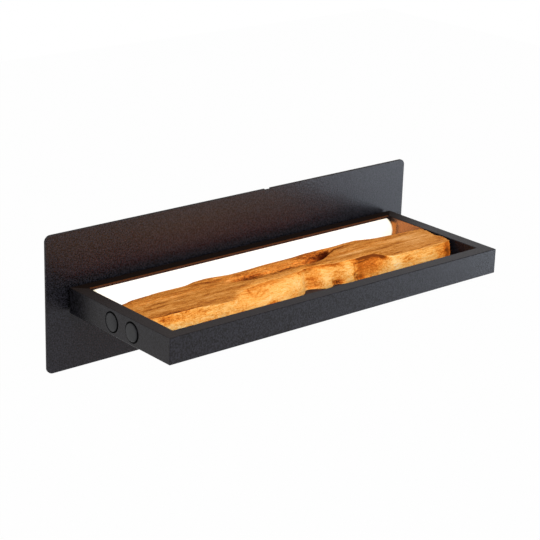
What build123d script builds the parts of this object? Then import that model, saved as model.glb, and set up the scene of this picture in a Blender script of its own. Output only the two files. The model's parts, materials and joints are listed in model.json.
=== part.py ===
from build123d import *
import os
from math import sqrt

os.makedirs("parts", exist_ok=True)

# Wall lamp with a small shelf: a welded tube frame stands out from a wall plate and carries a light tube
# at the back and a natural-edged board in front of it. +X runs along the wall, -Y points into the room,
# +Z is up, and the origin is on the wall, at the middle of the mounting bracket. All sizes are in mm.

# Running and seating clearances
sheet_gap = 0.3
thread_gap = 0.05
hole_gap = 0.15
slide_gap = 0.3
seat_gap = 0.1

# Wall plate
plate_width = 400.0
plate_height = 120.0
plate_thickness = 2.0
plate_corner_radius = 5.5
plate_edge_round = 0.4
nick_width = 6.5
nick_depth = 1.0
nick_from_middle = 32.0

# Rear housing, a welded ring between the wall and the plate
housing_width = 300.0
housing_height = 80.0
housing_depth = 20.0
housing_wall = 1.5
housing_corner_radius = 6.0

# Mounting bracket on the wall
bracket_thickness = 1.5
bracket_height = 30.0
bracket_tab_reach = 14.0
bracket_tab_height = 20.0
wall_slot_pitch = 180.0
wall_slot_length = 10.0
wall_slot_width = 5.0
cable_entry_radius = 8.0
cable_entry_from_middle = 45.0

# Lock screws through the housing's sides into the bracket's tabs
lock_screw_radius = 2.0
lock_head_radius = 3.5
lock_head_height = 2.4
lock_screw_from_wall = 9.0
lock_screw_spare = 1.5

# Frame of rectangular tube
frame_width = 360.0
frame_depth = 136.0
rail_width = 12.0
rail_wall = 1.5
rail_edge_round = 0.7
rail_land = 2.25
frame_gap = 4.0
frame_rise = 2.5

# Push-button switches in the left rail
switch_hole_radius = 9.0
switch_pitch = 27.2
switch_pair_from_front = 62.8
switch_cup_wall = 0.5
switch_lead_room = 1.9
snap_lug_reach = 0.8
snap_lug_width = 4.0
snap_lug_height = 2.0
button_proud = 0.5
button_thickness = 2.4
button_travel = 1.0
button_edge_round = 0.6
button_stem_radius = 2.0
button_hook_width = 2.0
button_hook_thickness = 0.8
button_hook_reach = 0.5
switch_floor = 0.8
switch_body_size = 5.2
switch_body_height = 1.8
plunger_radius = 1.4
plunger_spare = 0.2
plunger_clear = 0.1
spring_radius = 4.4
spring_wire_radius = 0.3
spring_turns = 2.5

# Screws and rivet nuts that hold the frame on the plate
frame_screw_pitch = 86.0
frame_screw_count = 4
frame_screw_radius = 2.0
frame_head_radius = 3.8
frame_head_height = 2.6
frame_screw_spare = 1.0
rivet_nut_radius = 3.0
rivet_nut_length = 7.0
rivet_flange_radius = 4.6
rivet_flange = 0.8
spacer_radius = 6.0

# Cable bush from the housing into the rear rail
bush_radius = 5.5
bush_bore_radius = 4.0
bush_flange_radius = 7.5
bush_flange = 1.2
bush_drop = 3.5

# Light tube
tube_radius = 10.4
tube_sink = 2.0
tube_drop = 0.8
diffuser_wall = 1.2
tube_end_gap = 3.0
end_cap_thickness = 1.2
end_cap_plug = 3.0
carrier_thickness = 1.6
led_board_height = 8.0
led_board_thickness = 1.0
led_pitch = 8.0
led_width = 3.5
led_height = 2.8
led_thickness = 0.8
carrier_screw_radius = 1.5
carrier_head_radius = 2.8
carrier_screw_inset = 24.0
carrier_screw_spare = 2.5

# Natural-edged board
board_thickness = 18.0
board_below_top = 0.8
board_left_gap = 0.3
board_right_gap = 1.8
board_setback = 5.0
board_shoulder_drop = 8.0
board_back_drop = 1.6

# Flat bar under the board, welded between the side rails, and the screws through it
bar_width = 38.0
bar_thickness = 2.0
board_screw_pitch = 20.0
board_screw_from_rail = 11.0
board_screw_radius = 1.9
board_screw_length = 12.0
board_head_radius = 3.6
board_head_height = 2.2

# LED driver on the back of the plate
driver_length = 100.0
driver_height = 30.0
driver_depth = 15.0
driver_wall = 1.2
driver_middle_x = -10.0
driver_from_floor = 2.0
driver_ear_length = 9.0
driver_ear_thickness = 1.5
driver_rib_height = 1.6
driver_rib_width = 3.0
driver_board_thickness = 1.6
driver_board_gap = 0.8
transformer_size = 16.0
transformer_height = 8.0
capacitor_radius = 4.0
capacitor_height = 7.5
choke_radius = 5.0
choke_height = 5.0
stud_radius = 1.5
stud_spare = 1.5
nut_radius = 2.9
nut_height = 2.4

# Mains terminal block and earth stud
terminal_length = 34.0
terminal_height = 15.0
terminal_depth = 13.0
terminal_poles = 3
terminal_bore_radius = 1.8
terminal_screw_radius = 2.0
terminal_screw_length = 5.0
terminal_from_driver = 18.0
terminal_from_top = 9.0
earth_stud_from_terminal = 13.0
earth_stud_radius = 2.0
earth_stud_length = 9.0
earth_nut_radius = 4.0
earth_nut_height = 3.2

# Leads inside the lamp
led_lead_radius = 1.7
switch_lead_radius = 0.8
mains_lead_radius = 1.3
lead_entry_pitch = 7.0
lead_bend = 3.0

# Places that follow from the sizes above
plate_back = -housing_depth
plate_front = plate_back - plate_thickness
frame_back = plate_front - frame_gap
frame_front = frame_back - frame_depth
frame_middle_y = frame_back - frame_depth / 2
frame_height = 2 * (switch_hole_radius + rail_land)
frame_top = frame_rise + frame_height / 2
frame_bottom = frame_rise - frame_height / 2
rail_face = frame_back - rail_width
inner_half_width = frame_width / 2 - rail_width
tube_axis_y = rail_face + tube_sink
tube_axis_z = frame_rise - tube_drop
tube_half_length = inner_half_width - tube_end_gap
bush_x = frame_screw_pitch
bush_z = frame_rise - bush_drop
plunger_proud = button_travel + plunger_spare
housing_floor = housing_wall - housing_height / 2
driver_middle_z = housing_floor + driver_from_floor + driver_height / 2
driver_left = driver_middle_x - driver_length / 2
terminal_middle_x = driver_left - terminal_from_driver - terminal_length / 2
terminal_middle_z = -housing_floor - terminal_from_top - terminal_height / 2
earth_stud_x = terminal_middle_x - terminal_length / 2 - earth_stud_from_terminal


def block(x_low, x_high, y_low, y_high, z_low, z_high):
    middle = Pos((x_low + x_high) / 2, (y_low + y_high) / 2, (z_low + z_high) / 2)
    return middle * Box(x_high - x_low, y_high - y_low, z_high - z_low)


def rod_y(x, z, y_low, y_high, radius):
    place = Location((x, (y_low + y_high) / 2, z), (90, 0, 0))
    return place * Cylinder(radius, y_high - y_low)


def rod_x(y, z, x_low, x_high, radius):
    place = Location(((x_low + x_high) / 2, y, z), (0, 90, 0))
    return place * Cylinder(radius, x_high - x_low)


def rod_z(x, y, z_low, z_high, radius):
    return Pos(x, y, (z_low + z_high) / 2) * Cylinder(radius, z_high - z_low)


def upright_sheet(width, height, corner_radius, y_low, y_high):
    face = Plane.XZ * RectangleRounded(width, height, corner_radius)
    return Pos(0, y_high, 0) * extrude(face, y_high - y_low)


def prism(corners, z_low, z_high):
    face = make_face(Polyline(*corners, close=True))
    return Pos(0, 0, z_low) * extrude(face, z_high - z_low, dir=(0, 0, 1))


def write(name, *solids):
    shape = solids[0] if len(solids) == 1 else Compound(children=[s.solid() for s in solids])
    shape.label = name
    export_step(shape, f"parts/{name}.step")


def wall_plate():
    plate = upright_sheet(plate_width, plate_height, plate_corner_radius, plate_front, plate_back)
    plate = fillet(plate.faces().sort_by(Axis.Y)[0].edges(), plate_edge_round)
    nick_top = plate_height / 2
    nick_half = nick_width / 2
    plate -= block(
        nick_from_middle - nick_half,
        nick_from_middle + nick_half,
        plate_front - 1,
        plate_back + 1,
        nick_top - nick_depth,
        nick_top + 1,
    )
    for x in frame_screw_places():
        plate -= rod_y(x, frame_rise, plate_front - 1, plate_back + 1, frame_screw_radius + hole_gap)
    plate -= rod_y(bush_x, bush_z, plate_front - 1, plate_back + 1, bush_radius + seat_gap)
    return plate


def rear_housing():
    inner_width = housing_width - 2 * housing_wall
    inner_height = housing_height - 2 * housing_wall
    inner_radius = housing_corner_radius - housing_wall
    ring = upright_sheet(housing_width, housing_height, housing_corner_radius, plate_back, 0)
    ring -= upright_sheet(inner_width, inner_height, inner_radius, plate_back - 1, 1)
    lock_hole = lock_screw_radius + hole_gap
    return ring - rod_x(-lock_screw_from_wall, 0, -housing_width, housing_width, lock_hole)


def bracket_half_length():
    return housing_width / 2 - housing_wall - sheet_gap


def mounting_bracket():
    half_length, half_height = bracket_half_length(), bracket_height / 2
    strip = block(-half_length, half_length, -bracket_thickness, 0, -half_height, half_height)
    for side in (-1, 1):
        slot_face = Plane.XZ * SlotOverall(wall_slot_length, wall_slot_width)
        slot = extrude(slot_face, 2 * bracket_thickness, both=True)
        strip -= Pos(side * wall_slot_pitch / 2, 0, 0) * slot
    return strip - rod_y(-cable_entry_from_middle, 0, -bracket_thickness - 1, 1, cable_entry_radius)


def bracket_tab(side):
    """Upright tab welded on the end of the strip, threaded for a lock screw."""
    outer = side * bracket_half_length()
    inner = side * (bracket_half_length() - bracket_thickness)
    left, right = min(outer, inner), max(outer, inner)
    half_height = bracket_tab_height / 2
    tab = block(left, right, -bracket_tab_reach, -bracket_thickness, -half_height, half_height)
    return tab - rod_x(-lock_screw_from_wall, 0, left - 1, right + 1, lock_screw_radius + thread_gap)


def lock_screw(side):
    head_inner = housing_width / 2
    tip = head_inner - housing_wall - sheet_gap - bracket_thickness - lock_screw_spare
    shank = rod_x(-lock_screw_from_wall, 0, tip, head_inner, lock_screw_radius)
    head = rod_x(-lock_screw_from_wall, 0, head_inner, head_inner + lock_head_height, lock_head_radius)
    screw = shank + head
    return screw if side > 0 else screw.rotate(Axis.Z, 180).moved(Location((0, -2 * lock_screw_from_wall, 0)))


def frame_corner(corner, inset):
    side_x, side_y = corner
    x = side_x * (frame_width / 2 - inset)
    y = frame_middle_y + side_y * (frame_depth / 2 - inset)
    return (x, y)


def rail_between(start, end, long_axis):
    near, far = rail_wall, rail_width - rail_wall
    outer = [
        frame_corner(start, 0),
        frame_corner(end, 0),
        frame_corner(end, rail_width),
        frame_corner(start, rail_width),
    ]
    inner = [
        frame_corner(start, near),
        frame_corner(end, near),
        frame_corner(end, far),
        frame_corner(start, far),
    ]
    body = prism(outer, frame_bottom, frame_top)
    body = fillet(body.edges().filter_by(long_axis), rail_edge_round)
    return body - prism(inner, frame_bottom + rail_wall, frame_top - rail_wall)


def switch_places():
    pair_middle = frame_front + switch_pair_from_front
    return [pair_middle + switch_pitch / 2, pair_middle - switch_pitch / 2]


def frame_screw_places():
    middle = (frame_screw_count - 1) / 2
    return [(i - middle) * frame_screw_pitch for i in range(frame_screw_count)]


def carrier_screw_places():
    end = tube_half_length - carrier_screw_inset
    return [-end, 0, end]


def left_rail():
    rail = rail_between((-1, -1), (-1, 1), Axis.Y)
    outside = -frame_width / 2
    for y in switch_places():
        rail -= rod_x(y, frame_rise, outside - 1, outside + rail_wall + 1, switch_hole_radius)
    return rail


def rear_rail():
    rail = rail_between((-1, 1), (1, 1), Axis.X)
    back_wall = (frame_back - rail_wall - 1, frame_back + 1)
    front_wall = (rail_face - 1, rail_face + rail_wall + 1)
    for x in frame_screw_places():
        rail -= rod_y(x, frame_rise, *back_wall, rivet_nut_radius + thread_gap)
    for x in carrier_screw_places():
        rail -= rod_y(x, tube_axis_z, *front_wall, carrier_screw_radius + thread_gap)
    rail -= rod_y(bush_x, bush_z, *back_wall, bush_radius + seat_gap)
    return rail - rod_y(bush_x, led_lead_z(), *front_wall, led_lead_radius + hole_gap)


def frame_screw(x):
    tip = frame_back + rivet_flange - rivet_nut_length - frame_screw_spare
    shank = rod_y(x, frame_rise, tip, plate_back, frame_screw_radius)
    return shank + rod_y(x, frame_rise, plate_back, plate_back + frame_head_height, frame_head_radius)


def rivet_nut(x):
    flange = rod_y(x, frame_rise, frame_back, frame_back + rivet_flange, rivet_flange_radius)
    sleeve_tip = frame_back + rivet_flange - rivet_nut_length
    sleeve = rod_y(x, frame_rise, sleeve_tip, frame_back, rivet_nut_radius)
    bore_radius = frame_screw_radius + thread_gap
    return flange + sleeve - rod_y(x, frame_rise, sleeve_tip - 1, frame_back + rivet_flange + 1, bore_radius)


def frame_spacer(x):
    spacer = rod_y(x, frame_rise, frame_back + rivet_flange, plate_front, spacer_radius)
    return spacer - rod_y(x, frame_rise, frame_back, plate_front + 1, frame_screw_radius + hole_gap)


def cable_bush():
    inner_end = frame_back - rail_wall
    body = rod_y(bush_x, bush_z, inner_end, plate_back, bush_radius)
    body += rod_y(bush_x, bush_z, plate_back, plate_back + bush_flange, bush_flange_radius)
    return body - rod_y(bush_x, bush_z, inner_end - 1, plate_back + bush_flange + 1, bush_bore_radius)


def tube_section(radius, back_y, x_low, x_high):
    """D-shaped bar along X: the part of a round bar that stands in front of back_y."""
    bar = rod_x(tube_axis_y, tube_axis_z, x_low, x_high, radius)
    low, high = tube_axis_z - radius - 1, tube_axis_z + radius + 1
    return bar - block(x_low - 1, x_high + 1, back_y, back_y + 2 * radius, low, high)


def carrier_half_height():
    bore = tube_radius - diffuser_wall
    reach = tube_sink + carrier_thickness
    return sqrt(bore**2 - reach**2) - seat_gap


def diffuser():
    end = tube_half_length - end_cap_thickness
    shell = tube_section(tube_radius, rail_face, -end, end)
    return shell - tube_section(tube_radius - diffuser_wall, rail_face + 1, -end - 1, end + 1)


def diffuser_cap(side):
    outer = side * tube_half_length
    seat = side * (tube_half_length - end_cap_thickness)
    plug_end = side * (tube_half_length - end_cap_thickness - end_cap_plug)
    cap = tube_section(tube_radius, rail_face, min(outer, seat), max(outer, seat))
    plug_radius = tube_radius - diffuser_wall - seat_gap
    return cap + tube_section(plug_radius, rail_face, min(seat, plug_end), max(seat, plug_end))


def carrier_half_length():
    return tube_half_length - end_cap_thickness - end_cap_plug - seat_gap


def led_carrier():
    half, high = carrier_half_length(), carrier_half_height()
    face = rail_face - carrier_thickness
    bar = block(-half, half, face, rail_face, tube_axis_z - high, tube_axis_z + high)
    head_depth = carrier_head_radius - carrier_screw_radius
    for x in carrier_screw_places():
        bar -= rod_y(x, tube_axis_z, face - 1, rail_face + 1, carrier_screw_radius + thread_gap)
        place = Location((x, face + head_depth / 2, tube_axis_z), (90, 0, 0))
        sink = Cone(carrier_screw_radius + thread_gap, carrier_head_radius + thread_gap, head_depth)
        bar -= place * sink
    return bar - rod_y(bush_x, led_lead_z(), face - 1, rail_face + 1, led_lead_radius + hole_gap)


def carrier_screw(x):
    face = rail_face - carrier_thickness
    head_depth = carrier_head_radius - carrier_screw_radius
    place = Location((x, face + head_depth / 2, tube_axis_z), (90, 0, 0))
    head = place * Cone(carrier_screw_radius, carrier_head_radius, head_depth)
    tip = rail_face + rail_wall + carrier_screw_spare
    return head + rod_y(x, tube_axis_z, face + head_depth, tip, carrier_screw_radius)


def led_board():
    half = carrier_half_length() - 1
    back = rail_face - carrier_thickness
    half_height = led_board_height / 2
    return block(
        -half, half, back - led_board_thickness, back, tube_axis_z - half_height, tube_axis_z + half_height
    )


def led_chips():
    usable = 2 * (carrier_half_length() - 1) - led_width
    count = int(usable // led_pitch) + 1
    back = rail_face - carrier_thickness - led_board_thickness
    half_height = led_height / 2
    chips = []
    for i in range(count):
        x = (i - (count - 1) / 2) * led_pitch
        chips.append(
            block(
                x - led_width / 2,
                x + led_width / 2,
                back - led_thickness,
                back,
                tube_axis_z - half_height,
                tube_axis_z + half_height,
            )
        )
    return chips


# The board's live edges. Each station is a share of the board's length, then how far its back edge, the
# front edge of its top, its shoulder and its foot lie from the board's middle line, and how deep its
# hollow is there. Towards the wall is positive.
board_stations = [
    (0.00, 17.0, -18.5, -22.0, -25.0, 0.0),
    (0.08, 22.5, -21.5, -25.5, -28.0, 0.0),
    (0.19, 23.5, -25.0, -29.0, -32.0, 0.3),
    (0.25, 26.0, -26.0, -30.5, -33.0, 1.0),
    (0.32, 24.0, -8.5, -24.0, -32.0, 3.0),
    (0.41, 24.5, -3.5, -19.0, -27.0, 4.0),
    (0.52, 26.0, -1.5, -6.0, -8.5, 4.5),
    (0.60, 27.0, -4.5, -9.0, -11.5, 7.0),
    (0.67, 28.5, -7.0, -13.0, -17.0, 1.0),
    (0.76, 28.0, -8.5, -12.5, -15.0, 0.0),
    (0.79, 28.0, -19.5, -23.0, -25.0, 0.0),
    (0.89, 21.5, -23.5, -25.5, -27.0, 0.0),
    (1.00, 18.0, -23.0, -24.5, -26.0, 0.0),
]
board_top = frame_top - board_below_top
board_bottom = board_top - board_thickness
board_middle_y = frame_middle_y - board_setback
board_left = -inner_half_width + board_left_gap
board_right = inner_half_width - board_right_gap
hollow_back_share = 0.18
hollow_middle_share = 0.5
hollow_front_share = 0.85


def board_section(station):
    share, back, edge, shoulder, foot, hollow = station
    x = board_left + share * (board_right - board_left)
    width = back - edge
    outline = [
        (back - board_back_drop, board_bottom),
        (back, board_top - board_back_drop),
        (back - hollow_back_share * width, board_top),
        (back - hollow_middle_share * width, board_top - hollow),
        (back - hollow_front_share * width, board_top),
        (edge, board_top - board_back_drop / 2),
        (shoulder, board_top - board_shoulder_drop),
        (foot, board_bottom),
    ]
    return make_face(Polyline(*[(x, board_middle_y + y, z) for y, z in outline], close=True))


def board_screw_x(side):
    return side * (inner_half_width - board_screw_from_rail)


def board_screw_places():
    return [board_middle_y - board_screw_pitch / 2, board_middle_y + board_screw_pitch / 2]


def wood_board():
    board = loft([board_section(station) for station in board_stations], ruled=True)
    pilot_top = board_bottom - bar_thickness + board_screw_length + seat_gap
    pilot_radius = board_screw_radius + thread_gap
    for side in (-1, 1):
        for y in board_screw_places():
            board -= rod_z(board_screw_x(side), y, board_bottom - 1, pilot_top, pilot_radius)
    return board


def support_bar():
    bar = block(
        -inner_half_width,
        inner_half_width,
        board_middle_y - bar_width / 2,
        board_middle_y + bar_width / 2,
        board_bottom - bar_thickness,
        board_bottom,
    )
    low, high = board_bottom - bar_thickness - 1, board_bottom + 1
    for side in (-1, 1):
        for y in board_screw_places():
            bar -= rod_z(board_screw_x(side), y, low, high, board_screw_radius + hole_gap)
    return bar


def board_screw(x, y):
    seat = board_bottom - bar_thickness
    shank = rod_z(x, y, seat, seat + board_screw_length, board_screw_radius)
    return shank + rod_z(x, y, seat - board_head_height, seat, board_head_radius)


def cup_depth():
    return rail_width - rail_wall - switch_lead_room


def cup_floor_x():
    """Inner face of the switch cup's floor, where the little switch sits."""
    return -frame_width / 2 + cup_depth() - switch_floor


def switch_cup(y):
    mouth = -frame_width / 2
    radius = switch_hole_radius - thread_gap
    cup = rod_x(y, frame_rise, mouth, mouth + cup_depth(), radius)
    for side in (-1, 1):
        lug_low = mouth + rail_wall + thread_gap
        lug_middle = y + side * radius
        cup += block(
            lug_low,
            lug_low + snap_lug_height,
            lug_middle - snap_lug_reach,
            lug_middle + snap_lug_reach,
            frame_rise - snap_lug_width / 2,
            frame_rise + snap_lug_width / 2,
        )
    cup -= rod_x(y, frame_rise, mouth - 1, cup_floor_x(), radius - switch_cup_wall)
    half_slot = button_hook_width / 2 + hole_gap
    slot_start = button_back_x() - button_hook_thickness - thread_gap
    slot_end = button_back_x() + button_travel + seat_gap
    return cup - block(
        slot_start, slot_end, y - half_slot, y + half_slot, frame_rise - radius - 1, frame_rise + radius + 1
    )


def button_back_x():
    return -frame_width / 2 - button_proud + button_thickness


def button_cap(y):
    front = -frame_width / 2 - button_proud
    radius = switch_hole_radius - thread_gap - switch_cup_wall - slide_gap
    cap = rod_x(y, frame_rise, front, button_back_x(), radius)
    cap = fillet(cap.edges().sort_by(Axis.X)[0], button_edge_round)
    half_hook = button_hook_width / 2
    hook_tip = radius + button_hook_reach
    cap += block(
        button_back_x() - button_hook_thickness,
        button_back_x(),
        y - half_hook,
        y + half_hook,
        frame_rise - hook_tip,
        frame_rise + hook_tip,
    )
    stem_end = cup_floor_x() - switch_body_height - plunger_proud
    return cap + rod_x(y, frame_rise, button_back_x(), stem_end, button_stem_radius)


def switch_body(y):
    half = switch_body_size / 2
    low = cup_floor_x() - switch_body_height
    body = block(low, cup_floor_x(), y - half, y + half, frame_rise - half, frame_rise + half)
    bore_end = low + button_travel + plunger_length_in_body() + plunger_clear
    return body - rod_x(y, frame_rise, low - 1, bore_end, plunger_radius + slide_gap)


def plunger_length_in_body():
    return (switch_body_height - button_travel) / 2


def switch_plunger(y):
    low = cup_floor_x() - switch_body_height
    return rod_x(y, frame_rise, low - plunger_proud, low + plunger_length_in_body(), plunger_radius)


def return_spring(y):
    length = cup_floor_x() - button_back_x() - 2 * spring_wire_radius
    coil = Helix(pitch=length / spring_turns, height=length, radius=spring_radius)
    wire = sweep(Plane(coil @ 0, z_dir=coil % 0) * Circle(spring_wire_radius), path=coil, is_frenet=True)
    start = Location((button_back_x() + spring_wire_radius, y, frame_rise), (0, 90, 0))
    return start * wire


def driver_case():
    half_length, half_height = driver_length / 2, driver_height / 2
    left, right = driver_middle_x - half_length, driver_middle_x + half_length
    low, high = driver_middle_z - half_height, driver_middle_z + half_height
    rim = plate_back + driver_depth - driver_wall
    case = block(left, right, plate_back, rim, low, high)
    case -= block(
        left + driver_wall,
        right - driver_wall,
        plate_back + driver_wall,
        rim + 1,
        low + driver_wall,
        high - driver_wall,
    )
    for side in (-1, 1):
        rib_x = driver_middle_x + side * half_length / 2
        rib_top = plate_back + driver_wall + driver_rib_height
        case += block(
            rib_x - driver_rib_width / 2,
            rib_x + driver_rib_width / 2,
            plate_back + driver_wall / 2,
            rib_top,
            low + driver_wall / 2,
            high - driver_wall / 2,
        )
        ear_start = driver_middle_x + side * half_length
        ear_end = ear_start + side * driver_ear_length
        case += block(
            min(ear_start, ear_end),
            max(ear_start, ear_end),
            plate_back,
            plate_back + driver_ear_thickness,
            driver_middle_z - half_height / 2,
            driver_middle_z + half_height / 2,
        )
        case -= rod_y(stud_x(side), driver_middle_z, plate_back - 1, plate_back + 4, stud_radius + hole_gap)
    lower_entry, upper_entry = lead_entries()
    case -= rod_x(lead_y(), upper_entry, right - 2, right + 1, led_lead_radius + hole_gap)
    case -= rod_x(lead_y(), lower_entry, right - 2, right + 1, switch_lead_radius + hole_gap)
    for z in lead_entries():
        case -= rod_x(lead_y(), z, left - 2, left + 2, mains_lead_radius + hole_gap)
    return case


def stud_x(side):
    return driver_middle_x + side * (driver_length + driver_ear_length) / 2


def lead_y():
    """Level at which every lead runs inside the housing, through the middle of the terminal block."""
    return plate_back + terminal_depth / 2


def lead_entries():
    """Lower and upper place of a lead at either end of the driver."""
    return [driver_middle_z - lead_entry_pitch / 2, driver_middle_z + lead_entry_pitch / 2]


def driver_lid():
    half_length, half_height = driver_length / 2, driver_height / 2
    rim = plate_back + driver_depth - driver_wall
    return block(
        driver_middle_x - half_length,
        driver_middle_x + half_length,
        rim,
        rim + driver_wall,
        driver_middle_z - half_height,
        driver_middle_z + half_height,
    )


def driver_board_level():
    return plate_back + driver_wall + driver_rib_height


def driver_board():
    margin = driver_wall + driver_board_gap
    half_length, half_height = driver_length / 2 - margin, driver_height / 2 - margin
    return block(
        driver_middle_x - half_length,
        driver_middle_x + half_length,
        driver_board_level(),
        driver_board_level() + driver_board_thickness,
        driver_middle_z - half_height,
        driver_middle_z + half_height,
    )


def driver_components():
    level = driver_board_level() + driver_board_thickness
    half = transformer_size / 2
    transformer = block(
        driver_middle_x - half,
        driver_middle_x + half,
        level,
        level + transformer_height,
        driver_middle_z - half,
        driver_middle_z + half,
    )
    right = driver_middle_x + driver_length / 4
    left = driver_middle_x - driver_length / 4
    capacitor = rod_y(right, driver_middle_z, level, level + capacitor_height, capacitor_radius)
    choke = rod_y(left, driver_middle_z, level, level + choke_height, choke_radius)
    return [transformer, capacitor, choke]


def stud(side):
    top = plate_back + driver_ear_thickness + nut_height + stud_spare
    return rod_y(stud_x(side), driver_middle_z, plate_back, top, stud_radius)


def hex_nut(x, z, y_low, height, radius, bore_radius):
    outline = RegularPolygon(radius, 6, major_radius=True) - Circle(bore_radius)
    nut = extrude(Plane.XZ * outline, -height)
    return Pos(x, y_low, z) * nut


def stud_nut(side):
    seat = plate_back + driver_ear_thickness
    return hex_nut(stud_x(side), driver_middle_z, seat, nut_height, nut_radius, stud_radius + thread_gap)


def terminal_pole_x(pole):
    pole_pitch = terminal_length / terminal_poles
    return terminal_middle_x + (pole - (terminal_poles - 1) / 2) * pole_pitch


def terminal_block():
    half_length, half_height = terminal_length / 2, terminal_height / 2
    body = block(
        terminal_middle_x - half_length,
        terminal_middle_x + half_length,
        plate_back,
        plate_back + terminal_depth,
        terminal_middle_z - half_height,
        terminal_middle_z + half_height,
    )
    low, high = terminal_middle_z - half_height - 1, terminal_middle_z + half_height + 1
    top = plate_back + terminal_depth
    for pole in range(terminal_poles):
        x = terminal_pole_x(pole)
        body -= rod_z(x, lead_y(), low, high, terminal_bore_radius)
        body -= rod_y(x, terminal_middle_z, lead_y(), top + 1, terminal_screw_radius + thread_gap)
    return body


def terminal_screw(pole):
    """Its tip presses on the lead in the pole's bore."""
    low = lead_y() + mains_lead_radius + seat_gap
    top = low + terminal_screw_length
    return rod_y(terminal_pole_x(pole), terminal_middle_z, low, top, terminal_screw_radius)


def earth_stud():
    tip = plate_back + earth_stud_length
    return rod_y(earth_stud_x, terminal_middle_z, plate_back, tip, earth_stud_radius)


def earth_nut():
    bore_radius = earth_stud_radius + thread_gap
    return hex_nut(
        earth_stud_x, terminal_middle_z, plate_back, earth_nut_height, earth_nut_radius, bore_radius
    )


def lead(points, radius, bend_radii):
    """A round lead: straight runs joined by tangent arcs, one radius for each corner."""
    path = FilletPolyline(*points, radius=bend_radii)
    return sweep(Plane(path @ 0, z_dir=path % 0) * Circle(radius), path=path)


def led_lead_z():
    return bush_z + bush_bore_radius - led_lead_radius - hole_gap


def driver_right_end():
    return driver_middle_x + driver_length / 2


def lead_turn_x():
    return (driver_right_end() + bush_x) / 2


def led_lead():
    entry = lead_entries()[1]
    board_back = rail_face - carrier_thickness
    points = [
        (driver_right_end() - driver_wall - 1, lead_y(), entry),
        (lead_turn_x(), lead_y(), entry),
        (bush_x, lead_y(), led_lead_z()),
        (bush_x, board_back, led_lead_z()),
    ]
    return lead(points, led_lead_radius, [2 * lead_bend, lead_bend])


def switch_lead_x():
    return -frame_width / 2 + rail_width - rail_wall - switch_lead_room / 2


def switch_lead():
    z = bush_z - bush_bore_radius + switch_lead_radius + hole_gap
    front_end = switch_places()[1] - switch_hole_radius / 2
    along_rear = frame_back - rail_width / 2
    entry = lead_entries()[0]
    points = [
        (switch_lead_x(), front_end, z),
        (switch_lead_x(), along_rear, z),
        (bush_x, along_rear, z),
        (bush_x, lead_y(), z),
        (lead_turn_x(), lead_y(), entry),
        (driver_right_end() - driver_wall - 1, lead_y(), entry),
    ]
    return lead(points, switch_lead_radius, [lead_bend, lead_bend, lead_bend, 2 * lead_bend])


def mains_lead(number):
    """From a pole of the terminal block down and across into the driver's left end."""
    entry = lead_entries()[number]
    x_start = terminal_pole_x(terminal_poles - 2 + number)
    z_start = terminal_middle_z - terminal_height / 4
    points = [
        (x_start, lead_y(), z_start),
        (x_start, lead_y(), entry),
        (driver_left + driver_wall + 1, lead_y(), entry),
    ]
    return lead(points, mains_lead_radius, [2 * lead_bend])


write("wall_plate", wall_plate())
write("rear_housing", rear_housing())
write("mounting_bracket", mounting_bracket())
write("bracket_tabs", bracket_tab(-1), bracket_tab(1))
write("lock_screws", lock_screw(-1), lock_screw(1))
write("front_rail", rail_between((-1, -1), (1, -1), Axis.X))
write("rear_rail", rear_rail())
write("left_rail", left_rail())
write("right_rail", rail_between((1, -1), (1, 1), Axis.Y))
write("frame_screws", *[frame_screw(x) for x in frame_screw_places()])
write("rivet_nuts", *[rivet_nut(x) for x in frame_screw_places()])
write("frame_spacers", *[frame_spacer(x) for x in frame_screw_places()])
write("cable_bush", cable_bush())
write("light_diffuser", diffuser())
write("diffuser_cap_left", diffuser_cap(-1))
write("diffuser_cap_right", diffuser_cap(1))
write("led_carrier", led_carrier())
write("carrier_screws", *[carrier_screw(x) for x in carrier_screw_places()])
write("led_board", led_board())
write("led_chips", *led_chips())
write("wood_board", wood_board())
write("support_bar", support_bar())
write("board_screws", *[board_screw(board_screw_x(s), y) for s in (-1, 1) for y in board_screw_places()])
for switch_name, switch_y in zip(("rear", "front"), switch_places()):
    write(f"button_cap_{switch_name}", button_cap(switch_y))
    write(f"switch_plunger_{switch_name}", switch_plunger(switch_y))
    write(f"return_spring_{switch_name}", return_spring(switch_y))
    write(f"switch_cup_{switch_name}", switch_cup(switch_y))
    write(f"switch_body_{switch_name}", switch_body(switch_y))
write("driver_case", driver_case())
write("driver_lid", driver_lid())
write("driver_board", driver_board())
write("driver_components", *driver_components())
write("driver_studs", stud(-1), stud(1))
write("driver_nuts", stud_nut(-1), stud_nut(1))
write("terminal_block", terminal_block())
write("terminal_screws", *[terminal_screw(pole) for pole in range(terminal_poles)])
write("earth_stud", earth_stud())
write("earth_nut", earth_nut())
write("led_lead", led_lead())
write("switch_lead", switch_lead())
write("mains_leads", mains_lead(0), mains_lead(1))
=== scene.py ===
import json
import math
import random

import bmesh
import bpy
import numpy as np
from mathutils import Matrix, Vector, noise


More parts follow.
